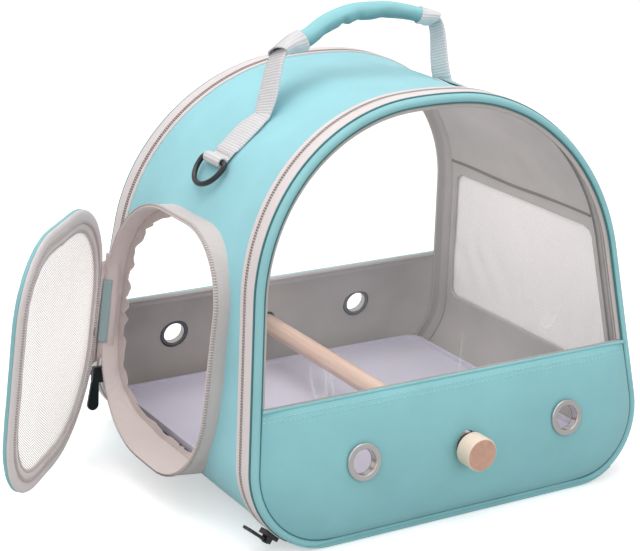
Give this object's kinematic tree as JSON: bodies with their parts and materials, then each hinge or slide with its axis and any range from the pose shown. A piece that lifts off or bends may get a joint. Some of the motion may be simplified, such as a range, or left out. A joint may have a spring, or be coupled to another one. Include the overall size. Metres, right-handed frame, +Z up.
{
  "type": "bird travel carrier",
  "caption": "Arched soft-sided bird carrier with leaning clear windows, an open round side door, a perch, a tray and a padded handle",
  "frame": {"origin": "middle of the underside, on the floor", "axes": "+X right, -Y front, +Z up"},
  "size_m": [0.4541, 0.3222, 0.3354],
  "materials": {
    "teal_cloth": "matt padded polyester cloth with fine weave",
    "blush_tape": "matt woven zip tape and gathered binding",
    "zip_coil": "satin nylon coil",
    "grey_lining": "smooth woven lining",
    "clear_film": "clear soft plastic film, glossy",
    "white_mesh": "fine open net",
    "pale_webbing": "ribbed woven webbing",
    "black_board": "matt board",
    "pale_liner": "matt foam sheet",
    "tray_plastic": "satin moulded plastic",
    "bare_wood": "sanded bare wood",
    "cap_wood": "sanded and waxed wood",
    "zinc_steel": "plated screw thread",
    "gunmetal": "polished dark plated metal",
    "dark_plastic": "matt plastic",
    "black_metal": "semi-gloss black paint"
  },
  "bodies": {
    "carrier": {"base_panel": "teal_cloth", "left_wall": "teal_cloth", "right_wall": "teal_cloth", "roof_panel": "teal_cloth", "lining": "grey_lining", "right_mesh": "white_mesh", "right_mesh_border": "grey_lining", "door_collar": "blush_tape", "collar_coil": "zip_coil", "collar_frill": "blush_tape", "collar_hinge_strip": "blush_tape", "front_hinge_strip": "teal_cloth", "rear_hinge_strip": "teal_cloth", "front_body_tape": "blush_tape", "front_body_coil": "zip_coil", "rear_body_tape": "blush_tape", "rear_body_coil": "zip_coil", "base_board": "black_board", "floor_liner": "pale_liner", "tray": "tray_plastic", "tray_runners": "tray_plastic", "perch_dowel": "bare_wood", "perch_studs": "zinc_steel", "left_strap": "pale_webbing", "right_strap": "pale_webbing", "door_slider": "black_metal"},
    "front_panel": {"front_welt": "teal_cloth", "front_window": "clear_film", "front_lower_panel": "teal_cloth", "front_lower_lining": "grey_lining", "front_eyelets": "gunmetal", "front_perch_washer": "dark_plastic", "front_panel_tape": "blush_tape", "front_panel_coil": "zip_coil"},
    "rear_panel": {"rear_welt": "teal_cloth", "rear_window": "clear_film", "rear_lower_panel": "teal_cloth", "rear_lower_lining": "grey_lining", "rear_eyelets": "gunmetal", "rear_perch_washer": "dark_plastic", "rear_panel_tape": "blush_tape", "rear_panel_coil": "zip_coil"},
    "front_cap": {"front_perch_cap": "cap_wood"},
    "rear_cap": {"rear_perch_cap": "cap_wood"},
    "door": {"door_edge": "teal_cloth", "door_tape": "blush_tape", "door_coil": "zip_coil", "door_binding": "grey_lining", "door_mesh": "white_mesh", "door_hinge_tab": "teal_cloth"},
    "handle": {"handle_grip": "teal_cloth", "handle_sleeves": "pale_webbing", "handle_webbing": "pale_webbing"},
    "left_ring": {"left_d_ring": "black_metal"},
    "right_ring": {"right_d_ring": "black_metal"},
    "front_zip_slider": {"front_slider": "black_metal"},
    "rear_zip_slider": {"rear_slider": "black_metal"},
    "front_zip_pull": {"front_pull": "black_metal"},
    "rear_zip_pull": {"rear_pull": "black_metal"},
    "door_zip_pull": {"door_pull": "black_metal"}
  },
  "joints": [
    {"name": "front_panel_drop", "type": "hinge", "parent": "carrier", "child": "front_panel", "pos_m": [0, -0.1385, 0.0036], "axis": [1, 0, 0], "range_deg": [0, 62]},
    {"name": "rear_panel_drop", "type": "hinge", "parent": "carrier", "child": "rear_panel", "pos_m": [0, 0.1385, 0.0036], "axis": [-1, 0, 0], "range_deg": [0, 62]},
    {"name": "front_cap_spin", "type": "hinge", "parent": "front_panel", "child": "front_cap", "pos_m": [0, -0.155, 0.054], "axis": [0, -1, 0], "continuous": true},
    {"name": "rear_cap_spin", "type": "hinge", "parent": "rear_panel", "child": "rear_cap", "pos_m": [0, 0.155, 0.054], "axis": [0, 1, 0], "continuous": true},
    {"name": "door_swing", "type": "hinge", "parent": "carrier", "child": "door", "pos_m": [-0.16688, 0.0915, 0.11073], "axis": [0, 0, -1], "range_deg": [-42, 95]},
    {"name": "handle_fold", "type": "hinge", "parent": "carrier", "child": "handle", "pos_m": [-0.01345, -0.005, 0.27463], "axis": [0.996, 0, 0.0891], "range_deg": [-38, 78]},
    {"name": "left_ring_swing", "type": "hinge", "parent": "carrier", "child": "left_ring", "pos_m": [-0.12396, -0.005, 0.23784], "axis": [0, 1, 0], "range_deg": [0, 150]},
    {"name": "right_ring_swing", "type": "hinge", "parent": "carrier", "child": "right_ring", "pos_m": [0.12396, -0.005, 0.23784], "axis": [0, -1, 0], "range_deg": [0, 150]},
    {"name": "front_slider_travel", "type": "hinge", "parent": "carrier", "child": "front_zip_slider", "pos_m": [-0.105, -0.11392, 0.05425], "axis": [0, 0.9863, -0.165], "range_deg": [0, 50]},
    {"name": "front_pull_swing", "type": "hinge", "parent": "front_zip_slider", "child": "front_zip_pull", "pos_m": [-0.14524, -0.12184, 0.00695], "axis": [0, -0.9863, 0.165], "range_deg": [-12, 60]},
    {"name": "rear_slider_travel", "type": "hinge", "parent": "carrier", "child": "rear_zip_slider", "pos_m": [0.105, 0.11392, 0.05425], "axis": [0, -0.9863, -0.165], "range_deg": [0, 50]},
    {"name": "rear_pull_swing", "type": "hinge", "parent": "rear_zip_slider", "child": "rear_zip_pull", "pos_m": [0.14524, 0.12184, 0.00695], "axis": [0, 0.9863, 0.165], "range_deg": [-12, 60]},
    {"name": "door_pull_swing", "type": "hinge", "parent": "carrier", "child": "door_zip_pull", "pos_m": [-0.16938, 0.098, 0.05517], "axis": [-0.994, 0, 0.1095], "range_deg": [-80, 12]}
  ]
}
